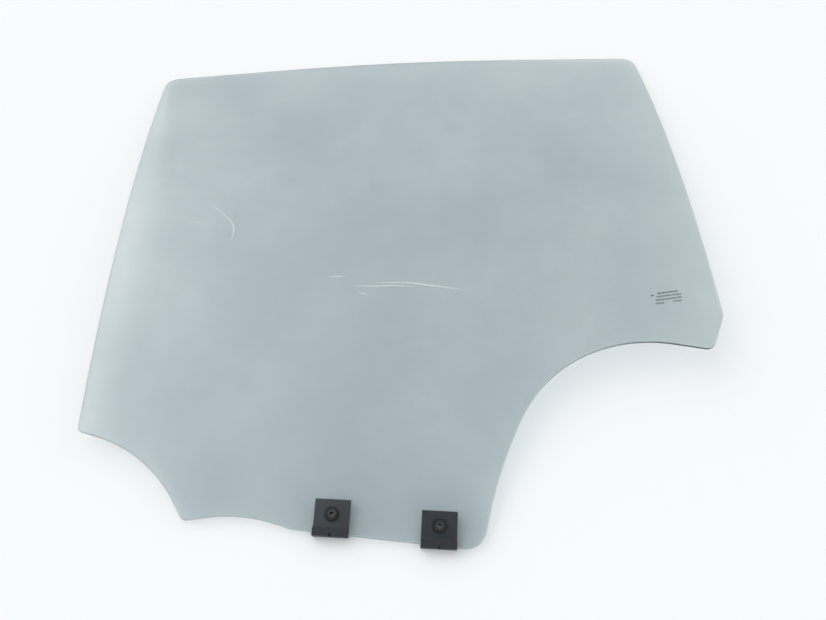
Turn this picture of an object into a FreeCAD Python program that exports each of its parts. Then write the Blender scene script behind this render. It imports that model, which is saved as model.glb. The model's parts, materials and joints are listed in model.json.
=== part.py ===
import FreeCAD, Part
import math
import os

import Sketcher

# Rear door drop glass of a left-hand car door, lying crown side up as it comes off the door.
# One tempered pane, bent to a cylinder, carries two moulded holders on its bottom edge, and
# a snap-in bush through the glass and each holder takes the pin of the window regulator.
#
# Pane frame: +X runs to the rear edge, +Y up the pane to its top edge, +Z out of the crowned
# face. Its origin lies on the crown line, midway between the side edges. Everything is drawn
# in this frame. At the end the whole glass is turned by about a degree, to where it comes to
# rest on level ground, and the origin moves to the middle of its footprint, on that ground.
# Lengths are in millimetres and angles in degrees.

SIZES = (
    # the bent sheet
    ("half_width", 291.5, "middle of the pane to either side edge"),
    ("crown_radius", 1521.0, "outer face, bent about an axis along X"),
    ("glass_thickness", 3.85, "tempered sheet"),
    ("edge_round", 1.5, "ground edge, on each face"),
    ("trim_margin", 20.0, "bent sheet left outside the outline before it is trimmed"),
    # outline, seen square to the crown: each corner stands off the middle by its share of
    # half_width, rises above the rear foot, and starts to round off at its reach from the corner
    ("crown_rise", 316.4, "crown line above the rear foot"),
    ("front_top_rise", 575.7, "front top corner"),
    ("front_top_reach", 15.0, ""),
    ("top_bend_share", -0.0201, "slow bend of the top edge"),
    ("top_bend_rise", 623.2, ""),
    ("top_bend_reach", 149.0, ""),
    ("rear_top_rise", 629.9, "rear top corner"),
    ("rear_top_reach", 16.5, ""),
    ("tail_bend_rise", 208.4, "lower end of the rear edge"),
    ("tail_bend_reach", 3.3, ""),
    ("tail_tip_share", 0.9402, "tip over the wheel arch"),
    ("tail_tip_rise", 172.3, ""),
    ("tail_tip_reach", 7.3, ""),
    ("arch_high_share", 0.4666, "wheel arch, upper corner"),
    ("arch_high_rise", 197.7, ""),
    ("arch_high_reach", 104.9, ""),
    ("arch_low_share", 0.23, "wheel arch, lower corner"),
    ("arch_low_rise", 60.9, ""),
    ("arch_low_reach", 36.8, ""),
    ("rear_foot_share", 0.1722, "rear foot, the lowest corner"),
    ("rear_foot_reach", 14.9, ""),
    ("front_foot_share", -0.358, "front end of the bottom edge"),
    ("front_foot_rise", 19.0, ""),
    ("front_foot_reach", 2.7, ""),
    ("notch_share", -0.5059, "shallow hollow in the bottom edge"),
    ("notch_rise", 33.3, ""),
    ("notch_reach", 31.2, ""),
    ("front_tip_share", -0.6676, "tip below the front cut"),
    ("front_tip_rise", 27.3, ""),
    ("front_tip_reach", 4.7, ""),
    ("front_cut_share", -0.7844, "hollow cut below the front edge"),
    ("front_cut_rise", 84.4, ""),
    ("front_cut_reach", 50.3, ""),
    ("front_low_rise", 103.3, "lower end of the front edge"),
    ("front_low_reach", 3.8, ""),
    # drilled holes
    ("front_hole_share", -0.2484, "front hole, as a share of half_width off the middle"),
    ("hole_spacing", 88.2, "front hole to rear hole"),
    ("hole_setback", 15.5, "hole centre to the bottom edge, along the glass"),
    ("glass_hole", 10.0, "diameter"),
    ("hole_chamfer", 0.5, "seamed rim of a hole"),
    # moulded holder
    ("holder_width", 29.6, ""),
    ("holder_height", 30.5, ""),
    ("holder_skew", 2.9, "turn of a holder from the bottom edge"),
    ("seat_gap", 0.2, "holder wall to glass face"),
    ("edge_gap", 0.1, "slot floor to the nearest point of the glass edge"),
    ("plate_thickness", 2.6, "wall behind the glass"),
    ("web_thickness", 0.7, "wall round the glass edge"),
    ("lip_thickness", 2.0, "wall in front of the glass"),
    ("lip_height", 6.4, "from the foot of the holder"),
    ("lead_in", 0.8, "bevel at the mouth of the slot"),
    ("mould_round", 0.6, "outer corners of the moulding"),
    ("gate_width", 1.8, "gate mark in the middle of the lip"),
    ("gate_height", 2.6, ""),
    # snap-in bush
    ("bush_bore", 3.2, "diameter, takes the pin of the regulator"),
    ("shank_gap", 0.25, "shank to the wall of the glass hole"),
    ("plate_hole_gap", 0.15, "shank to the wall of the hole in a holder"),
    ("flange_diameter", 12.0, "head that bears on the crowned face"),
    ("flange_thickness", 0.8, ""),
    ("head_gap", 0.05, "head to glass"),
    ("cap_diameter", 9.4, "raised middle of the head"),
    ("cap_rise", 0.7, "above the flange"),
    ("groove_width", 0.9, "ring round the collar"),
    ("groove_depth", 0.5, ""),
    ("collar_diameter", 6.6, "raised ring round the bore"),
    ("collar_rise", 0.3, "above the cap"),
    ("bore_bevel", 0.3, ""),
    ("barb_reach", 0.35, "barb past the wall of that hole"),
    ("barb_gap", 0.15, "barb to the back of the holder"),
    ("barb_land", 0.4, "straight part of the barb"),
    ("barb_length", 1.8, "barb to the end of the shank"),
    ("slit_width", 1.0, "slit that lets the barb close"),
    ("slit_length", 5.0, "from the end of the shank"),
    # how the glass lies
    ("rest_lean", -1.214, "turn about Y that brings it to rest"),
    ("rest_pitch", -0.474, "turn about X that brings it to rest"),
)

ENDS = ("front", "rear")

# two levels or radii closer than this are the same one
SAME = 0.01

doc = FreeCAD.newDocument("DoorGlass")
sheet = doc.addObject("Spreadsheet::Sheet", "Sizes")


def fill_sheet():
    """One row for each size: what it is, then its value under its alias."""
    for row, (alias, value, note) in enumerate(SIZES, start=1):
        sheet.set("A%d" % row, note)
        sheet.set("B%d" % row, str(value))
        sheet.setAlias("B%d" % row, alias)
    doc.recompute()


def size(alias):
    return float(sheet.get(alias))


class Measure:
    """A sum or difference of sizes, kept both as a number and as the text that binds it to the sheet."""

    def __init__(self, text, value):
        self.text = text
        self.value = value

    def __add__(self, other):
        return Measure("%s + %s" % (self.text, other.text), self.value + other.value)

    def __sub__(self, other):
        return Measure("%s - (%s)" % (self.text, other.text), self.value - other.value)

    def __neg__(self):
        return Measure("-(%s)" % self.text, -self.value)

    def __mul__(self, other):
        return Measure("(%s) * (%s)" % (self.text, other.text), self.value * other.value)

    def half(self):
        return Measure("(%s) / 2" % self.text, self.value / 2)


NOTHING = Measure("0", 0.0)


def cell(alias):
    return Measure("Sizes.%s" % alias, size(alias))


def off_middle(alias):
    return cell(alias) * cell("half_width")


def above_foot(alias):
    return cell(alias) - cell("crown_rise")


def new_body(label):
    body = doc.addObject("PartDesign::Body", label)
    body.Label = label
    return body


def new_sketch(body, name, plane, offset=None):
    """A sketch on one of the body's own origin planes, turned and shifted by the offset."""
    sketch = body.newObject("Sketcher::SketchObject", name)
    origin_plane = [part for part in body.Origin.OriginFeatures if part.Role == plane][0]
    sketch.AttachmentSupport = [(origin_plane, "")]
    sketch.MapMode = "FlatFace"
    if offset is not None:
        sketch.AttachmentOffset = offset
    return sketch


def bind(sketch, kind, *where, to):
    """Add a dimension and bind it to the sheet."""
    index = sketch.addConstraint(Sketcher.Constraint(kind, *where, to.value))
    sketch.setExpression("Constraints[%d]" % index, to.text)


def pin_point(sketch, geometry, point, across, along):
    """Hold one point of the sketch at its two distances from the sketch origin."""
    bind(sketch, "DistanceX", -1, 1, geometry, point, to=across)
    bind(sketch, "DistanceY", -1, 1, geometry, point, to=along)


def draw_polygon(sketch, corners):
    """Straight closed outline through corners given as pairs of measures."""
    points = [FreeCAD.Vector(across.value, along.value, 0) for across, along in corners]
    first = sketch.GeometryCount
    for start, end in zip(points, points[1:] + points[:1]):
        sketch.addGeometry(Part.LineSegment(start, end), False)
    for number, (across, along) in enumerate(corners):
        following = first + (number + 1) % len(corners)
        sketch.addConstraint(Sketcher.Constraint("Coincident", first + number, 2, following, 1))
        pin_point(sketch, first + number, 1, across, along)


def draw_circle(sketch, across, along, radius):
    centre = FreeCAD.Vector(across.value, along.value, 0)
    circle = sketch.addGeometry(Part.Circle(centre, FreeCAD.Vector(0, 0, 1), radius.value), False)
    bind(sketch, "Radius", circle, to=radius)
    pin_point(sketch, circle, 3, across, along)


def rounding(before, corner, after, reach):
    """The two tangent points, the centre and the turn of an arc that rounds off a corner."""
    back = (before - corner).normalize()
    onward = (after - corner).normalize()
    half_angle = back.getAngle(onward) / 2
    centre = corner + (back + onward).normalize() * (reach / math.cos(half_angle))
    return corner + back * reach, corner + onward * reach, centre, back.cross(onward).z


def arc_ends(turn):
    """The ends by which the outline enters and leaves an arc, which always runs anticlockwise."""
    return (2, 1) if turn > 0 else (1, 2)


def draw_rounded_polygon(sketch, corners):
    """Closed outline of straight runs, each corner rounded by a tangent arc of its own reach.

    Every corner is kept as a construction point, and both runs that meet there pass through it.
    """
    count = len(corners)
    points = [FreeCAD.Vector(across.value, along.value, 0) for across, along, reach in corners]
    rounds = [
        rounding(points[number - 1], points[number], points[(number + 1) % count], corners[number][2].value)
        for number in range(count)
    ]
    marks = []
    arcs = []
    runs = []
    for number, (enter, leave, centre, turn) in enumerate(rounds):
        across, along, reach = corners[number]
        mark = sketch.addGeometry(Part.Point(points[number]), True)
        pin_point(sketch, mark, 1, across, along)
        first, last = (leave, enter) if turn > 0 else (enter, leave)
        circle = Part.Circle(centre, FreeCAD.Vector(0, 0, 1), enter.distanceToPoint(centre))
        start_angle = math.atan2(first.y - centre.y, first.x - centre.x)
        end_angle = math.atan2(last.y - centre.y, last.x - centre.x)
        arc = sketch.addGeometry(Part.ArcOfCircle(circle, start_angle, end_angle), False)
        bind(sketch, "Distance", mark, 1, arc, arc_ends(turn)[0], to=reach)
        next_enter = rounds[(number + 1) % count][0]
        run = sketch.addGeometry(Part.LineSegment(leave, next_enter), False)
        marks.append(mark)
        arcs.append(arc)
        runs.append(run)
    for number in range(count):
        following = (number + 1) % count
        enter_end, leave_end = arc_ends(rounds[number][3])
        for tangent in (
            (runs[number - 1], 2, arcs[number], enter_end),
            (runs[number], 1, arcs[number], leave_end),
        ):
            sketch.addConstraint(Sketcher.Constraint("Tangent", *tangent))
        for mark in (marks[number], marks[following]):
            sketch.addConstraint(Sketcher.Constraint("PointOnObject", mark, 1, runs[number]))


def pad(body, sketch, name, length):
    feature = body.newObject("PartDesign::Pad", name)
    feature.Profile = sketch
    feature.Midplane = True
    feature.Length = length.value
    feature.setExpression("Length", length.text)
    doc.recompute()


def pocket_through(body, sketch, name, reverse=False, both_ways=False):
    """Cut right through from the sketch, and make sure that something was cut."""
    uncut = body.Shape.Volume
    feature = body.newObject("PartDesign::Pocket", name)
    feature.Profile = sketch
    feature.Type = "ThroughAll"
    feature.Reversed = reverse
    feature.Midplane = both_ways
    doc.recompute()
    if not body.Shape.Volume < uncut:
        raise RuntimeError("%s cuts nothing" % name)


def dress(body, kind, name, edges, amount):
    """Fillet or Chamfer on the named edges of the body as it stands."""
    base = body.Tip
    feature = body.newObject("PartDesign::" + kind, name)
    feature.Base = (base, edges)
    bound = "Radius" if kind == "Fillet" else "Size"
    setattr(feature, bound, amount.value)
    feature.setExpression(bound, amount.text)
    doc.recompute()


def edges_where(body, test):
    """Names of the edges of the body's shape that pass the test."""
    return ["Edge%d" % number for number, edge in enumerate(body.Shape.Edges, start=1) if test(edge)]


# the pane

def outline_corners():
    """Corners of the pane, anticlockwise from the front top corner, each with its reach."""
    front_edge = -cell("half_width")
    rear_edge = cell("half_width")
    foot = -cell("crown_rise")
    return (
        (front_edge, above_foot("front_top_rise"), cell("front_top_reach")),
        (front_edge, above_foot("front_low_rise"), cell("front_low_reach")),
        (off_middle("front_cut_share"), above_foot("front_cut_rise"), cell("front_cut_reach")),
        (off_middle("front_tip_share"), above_foot("front_tip_rise"), cell("front_tip_reach")),
        (off_middle("notch_share"), above_foot("notch_rise"), cell("notch_reach")),
        (off_middle("front_foot_share"), above_foot("front_foot_rise"), cell("front_foot_reach")),
        (off_middle("rear_foot_share"), foot, cell("rear_foot_reach")),
        (off_middle("arch_low_share"), above_foot("arch_low_rise"), cell("arch_low_reach")),
        (off_middle("arch_high_share"), above_foot("arch_high_rise"), cell("arch_high_reach")),
        (off_middle("tail_tip_share"), above_foot("tail_tip_rise"), cell("tail_tip_reach")),
        (rear_edge, above_foot("tail_bend_rise"), cell("tail_bend_reach")),
        (rear_edge, above_foot("rear_top_rise"), cell("rear_top_reach")),
        (off_middle("top_bend_share"), above_foot("top_bend_rise"), cell("top_bend_reach")),
    )


def sheet_reach(corners):
    """Plan distance from the crown line to the ends of the bent sheet, past every corner."""
    heights = [along for across, along, reach in corners]
    texts = "; ".join("abs(%s)" % along.text for along in heights)
    furthest = Measure("max(%s)" % texts, max(abs(along.value) for along in heights))
    return furthest + cell("trim_margin")


def bend_sheet(body, corners):
    """The glass sheet, bent to its cylinder and wider than the outline all round."""
    sketch = new_sketch(body, "bent_section", "YZ_Plane")
    radius = cell("crown_radius")
    inner = radius - cell("glass_thickness")
    reach = sheet_reach(corners)
    centre = FreeCAD.Vector(0, -radius.value, 0)
    arcs = []
    for measure in (radius, inner):
        half = math.asin(reach.value / measure.value)
        circle = Part.Circle(centre, FreeCAD.Vector(0, 0, 1), measure.value)
        arc = sketch.addGeometry(Part.ArcOfCircle(circle, math.pi / 2 - half, math.pi / 2 + half), False)
        bind(sketch, "Radius", arc, to=measure)
        arcs.append(arc)
    sketch.addConstraint(Sketcher.Constraint("PointOnObject", arcs[0], 3, -2))
    sketch.addConstraint(Sketcher.Constraint("Coincident", arcs[1], 3, arcs[0], 3))
    bind(sketch, "DistanceY", -1, 1, arcs[0], 3, to=-radius)
    for end, distance in ((1, reach), (2, -reach)):
        top = sketch.getPoint(arcs[0], end)
        low = sketch.getPoint(arcs[1], end)
        side = sketch.addGeometry(Part.LineSegment(top, low), False)
        sketch.addConstraint(Sketcher.Constraint("Coincident", side, 1, arcs[0], end))
        sketch.addConstraint(Sketcher.Constraint("Coincident", side, 2, arcs[1], end))
        sketch.addConstraint(Sketcher.Constraint("Vertical", side))
        bind(sketch, "DistanceX", -1, 1, side, 1, to=distance)
    half_width = cell("half_width") + cell("trim_margin")
    pad(body, sketch, "bent_sheet", half_width + half_width)


def trim_sheet(body, corners):
    """Cut away all of the sheet that lies outside the outline, drawn clear above the crown."""
    above = FreeCAD.Placement(FreeCAD.Vector(0, 0, size("trim_margin")), FreeCAD.Rotation())
    sketch = new_sketch(body, "outline", "XY_Plane", above)
    draw_rounded_polygon(sketch, corners)
    across = cell("half_width") + cell("trim_margin") + cell("trim_margin")
    along = sheet_reach(corners) + cell("trim_margin")
    draw_polygon(sketch, ((across, along), (-across, along), (-across, -along), (across, -along)))
    pocket_through(body, sketch, "trimmed")


def crown_height(along):
    """Height of the outer face at a plan distance from the crown line."""
    return math.sqrt(size("crown_radius") ** 2 - along ** 2) - size("crown_radius")


def bottom_edge(across):
    """Plan position along Y of the straight bottom edge at a place along X."""
    rear_foot = off_middle("rear_foot_share").value
    front_foot = off_middle("front_foot_share").value
    slope = size("front_foot_rise") / (rear_foot - front_foot)
    return (rear_foot - across) * slope - size("crown_rise")


def hole_centre(end):
    """Plan position of a drilled hole, set back from the bottom edge along the bent glass."""
    across = off_middle("front_hole_share").value
    if end == "rear":
        across += size("hole_spacing")
    edge = bottom_edge(across)
    tilt = math.asin(edge / size("crown_radius"))
    return across, edge + size("hole_setback") * math.cos(tilt)


def on_glass(end, turn=0.0):
    """Placement on the outer face at a hole: local Z out of the glass, local Y up the pane."""
    across, along = hole_centre(end)
    tilt = math.degrees(math.asin(along / size("crown_radius")))
    lean = FreeCAD.Rotation(FreeCAD.Vector(1, 0, 0), -tilt)
    spin = FreeCAD.Rotation(FreeCAD.Vector(0, 0, 1), turn)
    place = FreeCAD.Vector(across, along, crown_height(along))
    return FreeCAD.Placement(place, lean.multiply(spin))


def holder_turn():
    """Angle between a holder and the X axis: the bottom edge's own slope, less the skew."""
    rear_foot = off_middle("rear_foot_share").value
    front_foot = off_middle("front_foot_share").value
    return size("holder_skew") - math.degrees(math.atan2(size("front_foot_rise"), rear_foot - front_foot))


def on_face(edge):
    """True for an edge that lies in the outer or the inner face, all along it."""
    samples = 5
    radii = [math.hypot(point.y, point.z + size("crown_radius")) for point in edge.discretize(samples)]
    return max(radii) - min(radii) < SAME


def make_pane():
    body = new_body("door_glass")
    corners = outline_corners()
    bend_sheet(body, corners)
    trim_sheet(body, corners)
    dress(body, "Fillet", "ground_edge", edges_where(body, on_face), cell("edge_round"))
    for end in ENDS:
        sketch = new_sketch(body, end + "_hole", "XY_Plane", on_glass(end))
        draw_circle(sketch, NOTHING, NOTHING, cell("glass_hole").half())
        pocket_through(body, sketch, end + "_drilled")
        centre = on_glass(end).Base
        reach = size("glass_hole")

        def around_hole(edge):
            near = edge.BoundBox.Center.distanceToPoint(centre) < reach
            return near and edge.isClosed() and edge.Length > reach

        dress(body, "Chamfer", end + "_seamed", edges_where(body, around_hole), cell("hole_chamfer"))
    return body


# the moulded holders

def holder_levels():
    """Distances from the bush axis, up the pane, and from the outer face, outwards."""
    skew_drop = Measure(
        "tan(Sizes.holder_skew) * Sizes.holder_width / 2",
        math.tan(math.radians(size("holder_skew"))) * size("holder_width") / 2,
    )
    # the trimmed edge stands upright, so it leans out of square to the bent glass
    edge_slant = Measure(
        "Sizes.glass_thickness * Sizes.crown_rise / Sizes.crown_radius",
        size("glass_thickness") * size("crown_rise") / size("crown_radius"),
    )
    floor = -(cell("hole_setback") + skew_drop + edge_slant + cell("edge_gap"))
    foot = floor - cell("web_thickness")
    return {
        "floor": floor,
        "foot": foot,
        "top": foot + cell("holder_height"),
        "lip_top": foot + cell("lip_height"),
        "lip_back": cell("seat_gap"),
        "lip_front": cell("seat_gap") + cell("lip_thickness"),
        "plate_front": -(cell("glass_thickness") + cell("seat_gap")),
        "plate_back": -(cell("glass_thickness") + cell("seat_gap") + cell("plate_thickness")),
    }


def make_holder(end):
    """U-shaped shoe over the bottom edge: tall plate behind, low lip in front, web below."""
    body = new_body(end + "_holder")
    at = holder_levels()
    lead = cell("lead_in")
    section = new_sketch(body, end + "_section", "YZ_Plane")
    draw_polygon(section, (
        (at["foot"], at["plate_back"]),
        (at["foot"], at["lip_front"]),
        (at["lip_top"], at["lip_front"]),
        (at["lip_top"], at["lip_back"] + lead),
        (at["lip_top"] - lead, at["lip_back"]),
        (at["floor"], at["lip_back"]),
        (at["floor"], at["plate_front"]),
        (at["top"] - lead, at["plate_front"]),
        (at["top"], at["plate_front"] - lead),
        (at["top"], at["plate_back"]),
    ))
    pad(body, section, end + "_shoe", cell("holder_width"))

    plate_hole = new_sketch(body, end + "_plate_hole", "XY_Plane")
    draw_circle(plate_hole, NOTHING, NOTHING, shank_radius() + cell("plate_hole_gap"))
    pocket_through(body, plate_hole, end + "_plate_bored")

    gate = new_sketch(body, end + "_gate", "XY_Plane")
    side = cell("gate_width").half()
    low = at["foot"] - cell("gate_height")
    high = at["foot"] + cell("gate_height")
    draw_polygon(gate, ((side, low), (side, high), (-side, high), (-side, low)))
    pocket_through(body, gate, end + "_gate_mark", reverse=True)

    back = at["plate_back"].value

    def outer_corner(edge):
        """The four straight edges round the back of the plate."""
        box = edge.BoundBox
        return not edge.isClosed() and abs(box.ZMin - back) < SAME and abs(box.ZMax - back) < SAME

    dress(body, "Fillet", end + "_softened", edges_where(body, outer_corner), cell("mould_round"))
    return body


# the bushes

def shank_radius():
    return cell("glass_hole").half() - cell("shank_gap")


def make_bush(end):
    """Ringed head on the outer face, shank through glass and holder, split barb behind it."""
    body = new_body(end + "_bush")
    bore = cell("bush_bore").half()
    shank = shank_radius()
    flange = cell("flange_diameter").half()
    cap = cell("cap_diameter").half()
    collar = cell("collar_diameter").half()
    seat = cell("head_gap")
    flange_top = seat + cell("flange_thickness")
    cap_top = flange_top + cell("cap_rise")
    collar_top = cap_top + cell("collar_rise")
    groove_floor = cap_top - cell("groove_depth")
    bevel = cell("bore_bevel")
    barb = shank + cell("plate_hole_gap") + cell("barb_reach")
    catch = holder_levels()["plate_back"] - cell("barb_gap")
    tip = catch - cell("barb_length")
    profile = new_sketch(body, end + "_profile", "XZ_Plane")
    draw_polygon(profile, (
        (bore, tip),
        (shank - bevel, tip),
        (barb, catch - cell("barb_land")),
        (barb, catch),
        (shank, catch),
        (shank, seat),
        (flange, seat),
        (flange, flange_top),
        (cap, flange_top),
        (cap, cap_top),
        (collar + cell("groove_width"), cap_top),
        (collar + cell("groove_width"), groove_floor),
        (collar, groove_floor),
        (collar, collar_top),
        (bore + bevel, collar_top),
        (bore, collar_top - bevel),
    ))
    turned = body.newObject("PartDesign::Revolution", end + "_turned")
    turned.Profile = profile
    turned.ReferenceAxis = (profile, ["V_Axis"])
    turned.Angle = 360
    doc.recompute()

    slit = new_sketch(body, end + "_slit", "YZ_Plane")
    half = cell("slit_width").half()
    deep = tip + cell("slit_length")
    below = tip - cell("slit_length")
    draw_polygon(slit, ((half, below), (half, deep), (-half, deep), (-half, below)))
    pocket_through(body, slit, end + "_slit_cut", both_ways=True)
    return body


# how the glass lies

def resting(bodies):
    """Turn the whole glass to the way it lies, then bring its foot and middle to the origin."""
    lean = FreeCAD.Rotation(FreeCAD.Vector(0, 1, 0), size("rest_lean"))
    pitch = FreeCAD.Rotation(FreeCAD.Vector(1, 0, 0), size("rest_pitch"))
    turn = FreeCAD.Placement(FreeCAD.Vector(), lean.multiply(pitch))
    for body in bodies:
        body.Placement = turn.multiply(body.Placement)
    doc.recompute()
    box = Part.makeCompound([body.Shape for body in bodies]).optimalBoundingBox()
    shift = FreeCAD.Placement(FreeCAD.Vector(-box.Center.x, -box.Center.y, -box.ZMin), FreeCAD.Rotation())
    for body in bodies:
        body.Placement = shift.multiply(body.Placement)
    doc.recompute()


def check_document(bodies):
    """Stop before anything is written if an object failed or a piece has no sound shape."""
    for item in doc.Objects:
        if "Invalid" in item.State or "Error" in item.State:
            raise RuntimeError("%s did not compute" % item.Name)
    for body in bodies:
        if body.Shape.isNull() or not body.Shape.isValid() or len(body.Shape.Solids) != 1:
            raise RuntimeError("%s has no sound solid" % body.Label)


def main():
    fill_sheet()
    bodies = [make_pane()]
    for end in ENDS:
        holder = make_holder(end)
        holder.Placement = on_glass(end, holder_turn())
        bush = make_bush(end)
        bush.Placement = on_glass(end)
        bodies += [holder, bush]
    resting(bodies)
    check_document(bodies)
    os.makedirs("parts", exist_ok=True)
    for body in bodies:
        body.Shape.exportStep(os.path.join("parts", body.Label + ".step"))


main()
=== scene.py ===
import json
import math

import bpy
import numpy as np
from mathutils import Matrix, Vector


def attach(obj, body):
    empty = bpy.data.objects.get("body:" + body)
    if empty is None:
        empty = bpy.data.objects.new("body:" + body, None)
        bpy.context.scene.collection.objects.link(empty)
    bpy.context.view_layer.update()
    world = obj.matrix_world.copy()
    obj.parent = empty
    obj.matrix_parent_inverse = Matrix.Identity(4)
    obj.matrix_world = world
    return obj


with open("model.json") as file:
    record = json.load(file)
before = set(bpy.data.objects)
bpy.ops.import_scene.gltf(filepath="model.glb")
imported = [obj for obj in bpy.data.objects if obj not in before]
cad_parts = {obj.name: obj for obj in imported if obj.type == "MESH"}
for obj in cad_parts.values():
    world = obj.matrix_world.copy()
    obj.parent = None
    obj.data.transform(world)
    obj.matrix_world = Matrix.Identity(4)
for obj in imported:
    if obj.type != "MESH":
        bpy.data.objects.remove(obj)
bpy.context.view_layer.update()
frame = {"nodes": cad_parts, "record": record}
nodes = frame["nodes"]

# Lengths are in metres, and angles in degrees. The part lies on the floor with its crown up.
MILLIMETRE = 0.001

# camera: held by hand above the front end of the bottom edge, looking down along the pane
CAMERA_PLACE = Vector((-0.03428, -0.50121, 0.62157))
CAMERA_AIM = Vector((0.04526, 0.56531, -0.82364))
CAMERA_RIGHT = Vector((0.99897, -0.02391, 0.03853))
CAMERA_LENS = 33.17
CAMERA_SENSOR = 36.0
CAMERA_NEAR = 0.01

# white surround: its tint, and its strength at the horizon and overhead
STUDIO_COLOR = (0.97, 0.99, 1.0)
STRENGTH_LEVEL = 1.25
STRENGTH_OVERHEAD = 0.45

# soft light: its direction, beyond the front edge and about 38 degrees up, the cosine of the
# angle at which it begins, and the strength that it adds in its middle
LIGHT_FROM = (-0.75, 0.24, 0.61)
LIGHT_BEGINS = 0.57
LIGHT_STRENGTH = 1.5

FLOOR_HALF = 12.0
FLOOR_COLOR = (0.92, 0.92, 0.92)
FLOOR_ROUGHNESS = 0.9

# dust: what part of each noise counts as a patch or a speck, from none to full, and how much
# of a patch is left between its specks
DUST_NOISE_ROUGHNESS = 0.6
PATCH_DETAIL = 5.0
SPECK_DETAIL = 2.0
PATCH_BAND = (0.38, 0.66)
SPECK_BAND = (0.60, 0.72)
BETWEEN_SPECKS = 0.45

# tinted glass: its colour clean, dusty, at the ground edge and in its shadow; its roughness
# where clean and dusty; and the slow waves that bend what it mirrors
GLASS_INDEX = 1.52
GLASS_COLOR = (0.604, 0.660, 0.684)
GLASS_DUSTY = (0.740, 0.780, 0.795)
GLASS_EDGE_COLOR = (0.62, 0.69, 0.68)
GLASS_SHADOW = (0.86, 0.91, 0.92)
GLASS_ROUGHNESS = (0.010, 0.045)
GLASS_EDGE_ROUGHNESS = 0.38
GLASS_PATCH_SCALE = 9.0
GLASS_SPECK_SCALE = 260.0
GLASS_DUST = 1.0
GLASS_WAVE_SCALE = 7.0
GLASS_WAVE_DEPTH = 0.0004

# how far a surface looks up or down: the faces are past the first value, because they lean by
# less than 15 degrees, and the ground edge is below the second one
EDGE_FACING = (0.96, 0.84)

# black moulded plastic
GRAIN_SCALE = 2600.0
GRAIN_DETAIL = 2.0
GRAIN_DEPTH = 0.00004
MOULDING_SPECK_SCALE = 1500.0

# holders: colour and roughness where clean and dusty
HOLDER_COLOR = (0.009, 0.010, 0.018)
HOLDER_DUSTY = (0.040, 0.042, 0.056)
HOLDER_ROUGHNESS = (0.46, 0.62)
HOLDER_PATCH_SCALE = 110.0
HOLDER_DUST = 0.35

# bushes: colour where clean, where dusty, and on the raised cap, which is painted lighter than the flange below
# it, partly for wear and partly as painted light that leaves the lower flange in painted shade; and roughness
# where unworn and worn
BUSH_COLOR = (0.006, 0.006, 0.008)
BUSH_DUSTY = (0.030, 0.030, 0.032)
BUSH_WORN_AND_LIT = (0.060, 0.057, 0.058)
BUSH_ROUGHNESS = (0.65, 0.38)
BUSH_SPECULAR = 0.25
BUSH_PATCH_SCALE = 160.0
BUSH_DUST = 0.5
BUSH_LEAST_WEAR = 0.7

# heights, from the cap of a bush, at which the lighter colour begins and is full, partly wear and partly
# painted light on the raised cap; the flange lies lower and keeps the darker colour as painted shade
WEAR_AND_LIGHT_HEIGHTS = (-0.00055, -0.00040)

# thin coats that have worn through: the band of their grain, and how dark its peaks are
WORN_BAND = (0.35, 0.6)
WORN_DETAIL = 3.0
WORN_SHADE = 0.8
WORN_ROUGHNESS = 0.6

# print and scratches: colour, scale of the grain, and alpha where most worn
PRINT_COLOR = (0.085, 0.095, 0.100)
PRINT_SCALE = 900.0
PRINT_THINNEST = 0.55
SCRATCH_COLOR = (0.97, 0.98, 0.98)
SCRATCH_SCALE = 700.0
SCRATCH_THINNEST = 0.6

# the outer face: a cylinder about an axis along the pane's width, with the middle of its
# crown line at CROWN_PLACE, as the glass lies
CROWN_RADIUS = 1.521
CROWN_PLACE = np.array((-0.000377, 0.001667, 0.036378))
REST_LEAN = -1.214
REST_PITCH = -0.474

# printing and scratches stand this far out of the face, and reach this far into it
SKIN_RISE = 0.00003
SKIN_SINK = 0.00025

# the printed mark, in its own axes: rows of plain dashes, each row from start to end with
# the length and width of one dash; its middle is given across the pane and along the glass
MARK_MIDDLE = np.array((0.2415, -0.0880))
MARK_TURN = 8.0
MARK_ROW_PITCH = 0.0036
MARK_MIDDLE_ROW = 1.5
MARK_GAP = 0.0008
MARK_ROWS = (
    # row below the top one, start, end, length, width
    (0.0, -0.0085, 0.0125, 0.0034, 0.0014),
    (0.4, -0.0155, -0.0120, 0.0030, 0.0014),
    (1.0, -0.0105, 0.0145, 0.0010, 0.0019),
    (2.0, -0.0125, 0.0140, 0.0010, 0.0019),
    (3.0, -0.0140, -0.0050, 0.0010, 0.0019),
    (3.0, 0.0040, 0.0125, 0.0010, 0.0019),
)

# rings of one dash from its foot to its top: points in each, and their share of its full size
DASH_POINTS = 12
DASH_SHARES = (1.0, 1.0, 0.8)
DASH_LIFTS = (-SKIN_SINK, 0.5 * SKIN_RISE, SKIN_RISE)

# fine scratches on the outer face: a few points of each, across the pane and along the glass
SCRATCH_WIDTH = 0.0008
SCRATCH_NARROWEST = 0.2
SCRATCH_STATIONS = 25
SCRATCHES = (
    ((-0.2256, 0.0071), (-0.2118, 0.0089)),
    ((-0.2072, 0.0345), (-0.1904, 0.0183), (-0.1804, 0.0053), (-0.1789, -0.0079), (-0.1805, -0.0145)),
    ((-0.0583, -0.0717), (-0.0335, -0.0723), (-0.0211, -0.0718), (0.0005, -0.0733)),
    ((-0.0369, -0.0682), (-0.0077, -0.0685), (0.0172, -0.0722), (0.0490, -0.0778)),
    ((-0.0534, -0.0789), (-0.0439, -0.0824)),
    ((-0.0806, -0.0607), (-0.0662, -0.0606)),
)


# nodes

def feed(tree, socket, value):
    """Link another node's output into a socket, or set a plain number, vector or colour there."""
    if isinstance(value, bpy.types.NodeSocket):
        tree.links.new(value, socket)
    elif socket.type == "RGBA":
        socket.default_value = (*value, 1.0)
    else:
        socket.default_value = value


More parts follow.
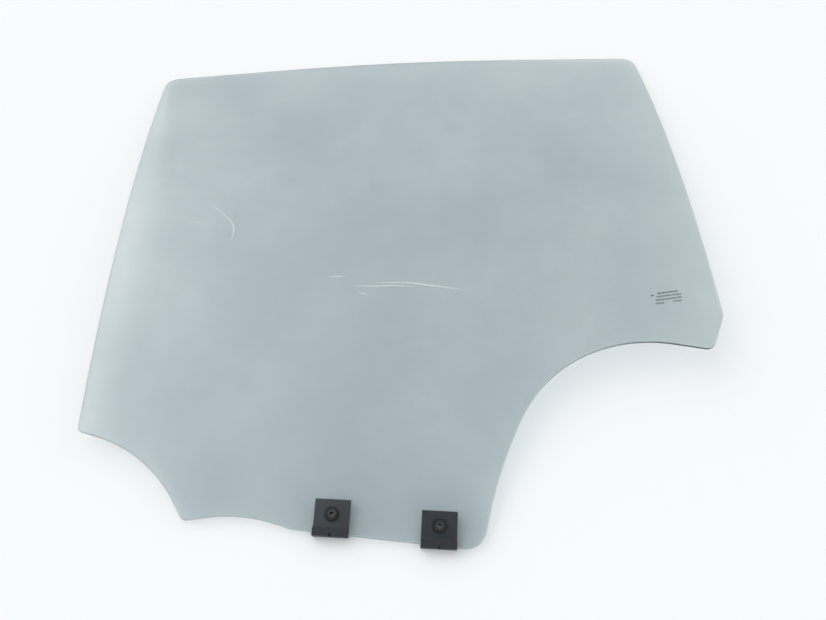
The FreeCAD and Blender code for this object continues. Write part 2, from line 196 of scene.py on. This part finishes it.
def add_node(tree, kind, inputs, **settings):
    """A node with its settings, and with its inputs fed by their name or number."""
    node = tree.nodes.new(kind)
    for name, value in settings.items():
        setattr(node, name, value)
    for name, value in inputs.items():
        feed(tree, node.inputs[name], value)
    return node


def add_noise(tree, position, scale, detail, **more):
    noise = add_node(tree, "ShaderNodeTexNoise", {"Vector": position, "Scale": scale, "Detail": detail, **more})
    return noise.outputs["Fac"]


def remap(tree, value, band, to=(0.0, 1.0), curve="LINEAR"):
    """The value taken from one range to another, level outside it."""
    low, high = band
    to_low, to_high = to
    inputs = {"Value": value, "From Min": low, "From Max": high, "To Min": to_low, "To Max": to_high}
    return add_node(tree, "ShaderNodeMapRange", inputs, interpolation_type=curve).outputs["Result"]


def span(tree, share, start, end):
    """The value that lies that share of the way from start to end."""
    return remap(tree, share, (0.0, 1.0), (start, end))


def combine(tree, operation, first, second=0.0):
    """One or two values joined by a Math node."""
    return add_node(tree, "ShaderNodeMath", {0: first, 1: second}, operation=operation).outputs["Value"]


def join_vectors(tree, operation, first, second):
    """The node that joins two vectors."""
    return add_node(tree, "ShaderNodeVectorMath", {0: first, 1: second}, operation=operation)


def blend(tree, mask, first, second):
    """Two colours mixed by a mask."""
    node = add_node(tree, "ShaderNodeMix", {"Factor": mask}, data_type="RGBA")
    color_inputs = [socket for socket in node.inputs if socket.type == "RGBA"]
    for socket, value in zip(color_inputs, (first, second)):
        feed(tree, socket, value)
    return [socket for socket in node.outputs if socket.type == "RGBA"][0]


def coordinate(tree, name):
    return tree.nodes.new("ShaderNodeTexCoord").outputs[name]


def height_part(tree, vector):
    return add_node(tree, "ShaderNodeSeparateXYZ", {"Vector": vector}).outputs["Z"]


def add_bump(tree, shader, height, distance):
    bump = add_node(tree, "ShaderNodeBump", {"Height": height, "Distance": distance})
    feed(tree, shader.inputs["Normal"], bump.outputs["Normal"])


# camera, light and floor

def place_camera():
    """A camera from its place, its aim and the direction that its picture calls right."""
    data = bpy.data.cameras.new("camera")
    data.lens = CAMERA_LENS
    data.sensor_width = CAMERA_SENSOR
    data.clip_start = CAMERA_NEAR
    camera = bpy.data.objects.new("camera", data)
    back = -CAMERA_AIM.normalized()
    right = (CAMERA_RIGHT - CAMERA_RIGHT.dot(back) * back).normalized()
    up = back.cross(right)
    turn = Matrix((right, up, back)).transposed().to_4x4()
    camera.matrix_world = Matrix.Translation(CAMERA_PLACE) @ turn
    bpy.context.collection.objects.link(camera)
    bpy.context.scene.camera = camera


def light_studio():
    """A white surround that dims overhead, with one broad soft light beyond the front edge.

    Its strength falls evenly with the height of the direction, and the soft light rises
    smoothly to its middle within about 55 degrees round LIGHT_FROM.
    """
    world = bpy.data.worlds.new("studio")
    world.use_nodes = True
    tree = world.node_tree
    direction = coordinate(tree, "Generated")
    surround = span(tree, height_part(tree, direction), STRENGTH_LEVEL, STRENGTH_OVERHEAD)
    toward = join_vectors(tree, "DOT_PRODUCT", direction, LIGHT_FROM).outputs["Value"]
    soft_light = remap(tree, toward, (LIGHT_BEGINS, 1.0), (0.0, LIGHT_STRENGTH), "SMOOTHSTEP")
    background = tree.nodes["Background"]
    feed(tree, background.inputs["Color"], STUDIO_COLOR)
    feed(tree, background.inputs["Strength"], combine(tree, "ADD", surround, soft_light))
    bpy.context.scene.world = world
    bpy.context.scene.view_settings.view_transform = "Standard"


def lay_floor():
    """A wide near-white floor under the part."""
    corners = [(x * FLOOR_HALF, y * FLOOR_HALF, 0.0) for x, y in ((-1, -1), (1, -1), (1, 1), (-1, 1))]
    mesh = bpy.data.meshes.new("floor")
    mesh.from_pydata(corners, [], [(0, 1, 2, 3)])
    floor = bpy.data.objects.new("floor", mesh)
    bpy.context.collection.objects.link(floor)
    material, shader = new_material("floor_paint")
    feed(material.node_tree, shader.inputs["Base Color"], FLOOR_COLOR)
    shader.inputs["Roughness"].default_value = FLOOR_ROUGHNESS
    mesh.materials.append(material)


# materials

def new_material(name):
    material = bpy.data.materials.new(name)
    material.use_nodes = True
    return material, material.node_tree.nodes["Principled BSDF"]


def make_dust_group():
    """Dust that gathers in patches and holds single specks: a mask, and the patches alone."""
    group = bpy.data.node_groups.new("dust", "ShaderNodeTree")
    face = group.interface
    face.new_socket("Position", in_out="INPUT", socket_type="NodeSocketVector")
    for label in ("Patch Scale", "Speck Scale", "Amount"):
        face.new_socket(label, in_out="INPUT", socket_type="NodeSocketFloat")
    for label in ("Dust", "Patches"):
        face.new_socket(label, in_out="OUTPUT", socket_type="NodeSocketFloat")
    given = group.nodes.new("NodeGroupInput").outputs
    noises = [
        add_noise(group, given["Position"], given[label], detail, Roughness=DUST_NOISE_ROUGHNESS)
        for label, detail in (("Patch Scale", PATCH_DETAIL), ("Speck Scale", SPECK_DETAIL))
    ]
    patches = remap(group, noises[0], PATCH_BAND)
    specks = remap(group, noises[1], SPECK_BAND)
    gathered = combine(group, "MULTIPLY", patches, span(group, specks, BETWEEN_SPECKS, 1.0))
    dust = combine(group, "MULTIPLY", gathered, given["Amount"])
    add_node(group, "NodeGroupOutput", {"Dust": dust, "Patches": patches})
    return group


def add_dust(tree, group, position, patch_scale, speck_scale, amount):
    inputs = {"Position": position, "Patch Scale": patch_scale, "Speck Scale": speck_scale, "Amount": amount}
    node = tree.nodes.new("ShaderNodeGroup")
    node.node_tree = group
    for name, value in inputs.items():
        feed(tree, node.inputs[name], value)
    return node.outputs["Dust"], node.outputs["Patches"]


def glass_material(dust_group):
    """Tinted glass: clear faces with a breath of dust, and a frosted ground edge."""
    material, shader = new_material("tinted_glass")
    tree = material.node_tree
    shader.inputs["IOR"].default_value = GLASS_INDEX
    shader.inputs["Transmission Weight"].default_value = 1.0

    upright = combine(tree, "ABSOLUTE", height_part(tree, coordinate(tree, "Normal")))
    edge = remap(tree, upright, EDGE_FACING)

    position = coordinate(tree, "Object")
    dust, patches = add_dust(tree, dust_group, position, GLASS_PATCH_SCALE, GLASS_SPECK_SCALE, GLASS_DUST)
    face_color = blend(tree, dust, GLASS_COLOR, GLASS_DUSTY)
    feed(tree, shader.inputs["Base Color"], blend(tree, edge, face_color, GLASS_EDGE_COLOR))
    face_rough = span(tree, patches, *GLASS_ROUGHNESS)
    edge_rough = combine(tree, "MULTIPLY", edge, GLASS_EDGE_ROUGHNESS)
    feed(tree, shader.inputs["Roughness"], combine(tree, "MAXIMUM", face_rough, edge_rough))
    add_bump(tree, shader, add_noise(tree, position, GLASS_WAVE_SCALE, 1.0), GLASS_WAVE_DEPTH)

    # a shadow passes straight through, with a little of the tint
    clear = add_node(tree, "ShaderNodeBsdfTransparent", {"Color": GLASS_SHADOW})
    for_shadow = tree.nodes.new("ShaderNodeLightPath").outputs["Is Shadow Ray"]
    mix = add_node(tree, "ShaderNodeMixShader", {
        "Fac": for_shadow,
        1: shader.outputs["BSDF"],
        2: clear.outputs["BSDF"],
    })
    feed(tree, tree.nodes["Material Output"].inputs["Surface"], mix.outputs["Shader"])
    return material


def add_grain(tree, shader, position):
    add_bump(tree, shader, add_noise(tree, position, GRAIN_SCALE, GRAIN_DETAIL), GRAIN_DEPTH)


def holder_material(dust_group):
    """Black moulded plastic with a fine grain, uneven sheen and dust in patches."""
    material, shader = new_material("holder_moulding")
    tree = material.node_tree
    position = coordinate(tree, "Object")
    dust, patches = add_dust(tree, dust_group, position, HOLDER_PATCH_SCALE, MOULDING_SPECK_SCALE, HOLDER_DUST)
    feed(tree, shader.inputs["Base Color"], blend(tree, dust, HOLDER_COLOR, HOLDER_DUSTY))
    feed(tree, shader.inputs["Roughness"], span(tree, patches, *HOLDER_ROUGHNESS))
    add_grain(tree, shader, position)
    return material


def bush_material(end, dust_group):
    """Black moulded plastic whose raised rings are painted greyer and made smoother: partly wear, partly
    painted light, with the lower flange left dark as painted shade.
    """
    bore = [mount for mount in frame["record"]["mounts"] if mount["name"] == end + "_bush_bore"][0]
    outwards = -Vector(bore["axis"])
    # the wall of the bore ends level with the cap
    cap = Vector(bore["pos_m"]) + outwards * bore["dims"]["length_mm"] * MILLIMETRE / 2
    material, shader = new_material(end + "_bush_moulding")
    shader.inputs["Specular IOR Level"].default_value = BUSH_SPECULAR
    tree = material.node_tree
    position = coordinate(tree, "Object")
    dust, patches = add_dust(tree, dust_group, position, BUSH_PATCH_SCALE, MOULDING_SPECK_SCALE, BUSH_DUST)
    from_cap = join_vectors(tree, "SUBTRACT", position, cap).outputs["Vector"]
    height = join_vectors(tree, "DOT_PRODUCT", from_cap, outwards).outputs["Value"]
    # the raised cap is painted lighter than the flange: partly wear, partly painted light, and the flange stays
    # dark as painted shade
    raised = remap(tree, height, WEAR_AND_LIGHT_HEIGHTS)
    worn = combine(tree, "MULTIPLY", raised, span(tree, patches, BUSH_LEAST_WEAR, 1.0))
    plain = blend(tree, dust, BUSH_COLOR, BUSH_DUSTY)
    feed(tree, shader.inputs["Base Color"], blend(tree, worn, plain, BUSH_WORN_AND_LIT))
    feed(tree, shader.inputs["Roughness"], span(tree, worn, *BUSH_ROUGHNESS))
    add_grain(tree, shader, position)
    return material


def worn_material(name, color, scale, thinnest):
    """A thin coat that is worn through in places, by its alpha."""
    material, shader = new_material(name)
    tree = material.node_tree
    grain = add_noise(tree, coordinate(tree, "Object"), scale, WORN_DETAIL)
    shaded = tuple(WORN_SHADE * part for part in color)
    feed(tree, shader.inputs["Alpha"], remap(tree, grain, WORN_BAND, (thinnest, 1.0)))
    feed(tree, shader.inputs["Base Color"], blend(tree, grain, color, shaded))
    shader.inputs["Roughness"].default_value = WORN_ROUGHNESS
    return material


# marks on the glass

def on_pane(across, along, lift):
    """Points on the bent pane as it lies, as one array.

    The distance along the glass wraps round the crown cylinder, so its angle is that distance
    over the crown radius; the lift adds to the radius; the result is turned and moved to rest.
    """
    across, along, lift = np.broadcast_arrays(across, along, lift)
    angle = along / CROWN_RADIUS
    radius = CROWN_RADIUS + lift
    upright = np.stack([across, radius * np.sin(angle), radius * np.cos(angle) - CROWN_RADIUS], axis=-1)
    lean = Matrix.Rotation(math.radians(REST_LEAN), 3, "Y")
    pitch = Matrix.Rotation(math.radians(REST_PITCH), 3, "X")
    return upright @ np.array(lean @ pitch).T + CROWN_PLACE


def capped_tubes(name, rings, material):
    """One piece of many closed tubes: rings[tube, ring, point], each end closed to its middle.

    A ring runs anticlockwise where the next ring lies towards the viewer.
    """
    tubes, stations, around, _ = rings.shape
    ends = np.stack([rings[:, 0].mean(axis=1), rings[:, -1].mean(axis=1)], axis=1)
    per_tube = stations * around + 2
    points = np.concatenate([rings.reshape(tubes, stations * around, 3), ends], axis=1)

    point = np.arange(around)
    following = (point + 1) % around
    row = np.arange(stations - 1)[:, None] * around
    sides = np.stack([row + point, row + following, row + around + following, row + around + point], axis=-1)
    last = (stations - 1) * around
    near = np.stack([following, point, np.full(around, per_tube - 2)], axis=-1)
    far = np.stack([last + point, last + following, np.full(around, per_tube - 1)], axis=-1)

    first = (np.arange(tubes) * per_tube)[:, None, None]
    quads = (first + sides.reshape(1, -1, 4)).reshape(-1, 4)
    fans = (first + np.concatenate([near, far])[None]).reshape(-1, 3)
    mesh = bpy.data.meshes.new(name)
    mesh.from_pydata(points.reshape(-1, 3).tolist(), [], quads.tolist() + fans.tolist())
    mesh.materials.append(material)
    piece = bpy.data.objects.new(name, mesh)
    bpy.context.collection.objects.link(piece)
    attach(piece, "root")


def mark_dashes():
    """Middle and size of every dash, in the mark's own axes: each row is filled evenly."""
    middles = []
    sizes = []
    for row, start, end, length, width in MARK_ROWS:
        count = max(1, round((end - start) / (length + MARK_GAP)))
        step = (end - start) / count
        across = start + step * (np.arange(count) + 0.5)
        up = np.full(count, (MARK_MIDDLE_ROW - row) * MARK_ROW_PITCH)
        middles.append(np.stack([across, up], axis=-1))
        sizes.append(np.tile((step - MARK_GAP, width), (count, 1)))
    return np.concatenate(middles), np.concatenate(sizes)


def make_mark(material):
    """Rows of plain printed dashes.

    A dash is a low pad: its rim is a squared ellipse, x and y being the half sizes times the
    square root of the cosine and of the sine with their signs, drawn in towards the top.
    """
    middles, sizes = mark_dashes()
    angle = np.linspace(0, 2 * np.pi, DASH_POINTS, endpoint=False)
    rim = np.stack([np.cos(angle), np.sin(angle)], axis=-1)
    rim = np.sign(rim) * np.sqrt(np.abs(rim))
    shares = np.array(DASH_SHARES)[:, None, None]
    lift = np.array(DASH_LIFTS)[:, None]
    own = middles[:, None, None] + sizes[:, None, None] / 2 * shares * rim
    turn = math.radians(MARK_TURN)
    spin = np.array(((math.cos(turn), math.sin(turn)), (-math.sin(turn), math.cos(turn))))
    place = MARK_MIDDLE + own @ spin
    capped_tubes("glass_mark", on_pane(place[..., 0], place[..., 1], lift), material)


def smooth_path(points):
    """A smooth line through a few points, with its direction at each station.

    Between two points it is the cubic whose slope at each is half the step between that
    point's neighbours.
    """
    points = np.array(points)
    padded = np.vstack([2 * points[0] - points[1], points, 2 * points[-1] - points[-2]])
    place = np.linspace(0, len(points) - 1, SCRATCH_STATIONS)
    piece = np.minimum(place.astype(int), len(points) - 2)
    t = (place - piece)[:, None]
    before, start, end, after = (padded[piece + step] for step in range(4))
    linear = end - before
    square = 2 * before - 5 * start + 4 * end - after
    cube = 3 * start - before - 3 * end + after
    line = 0.5 * (2 * start + linear * t + square * t ** 2 + cube * t ** 3)
    slope = linear + 2 * square * t + 3 * cube * t ** 2
    return line, slope / np.linalg.norm(slope, axis=1)[:, None]


def make_scratches(material):
    """Fine ribbons along the scratches: a lens section that narrows to both ends.

    The half width at a share t of the length is the full one times the square root of
    4 t (1 - t), and at least SCRATCH_NARROWEST of it.
    """
    share = np.linspace(0, 1, SCRATCH_STATIONS)
    half = SCRATCH_WIDTH / 2 * np.maximum(np.sqrt(4 * share * (1 - share)), SCRATCH_NARROWEST)
    side = np.array((1.0, 0.0, -1.0, 0.0))
    lift = np.array((0.0, SKIN_RISE, 0.0, -SKIN_SINK))
    lines, slopes = (np.stack(each) for each in zip(*(smooth_path(points) for points in SCRATCHES)))
    offset = half[:, None] * side
    across = lines[:, :, 0, None] - slopes[:, :, 1, None] * offset
    along = lines[:, :, 1, None] + slopes[:, :, 0, None] * offset
    capped_tubes("glass_scratches", on_pane(across, along, lift), material)


place_camera()
light_studio()
lay_floor()
dust = make_dust_group()
nodes["door_glass"].data.materials[0] = glass_material(dust)
holder_black = holder_material(dust)
for end in ("front", "rear"):
    nodes[end + "_holder"].data.materials[0] = holder_black
    nodes[end + "_bush"].data.materials[0] = bush_material(end, dust)
make_mark(worn_material("mark_print", PRINT_COLOR, PRINT_SCALE, PRINT_THINNEST))
make_scratches(worn_material("scratched_glass", SCRATCH_COLOR, SCRATCH_SCALE, SCRATCH_THINNEST))
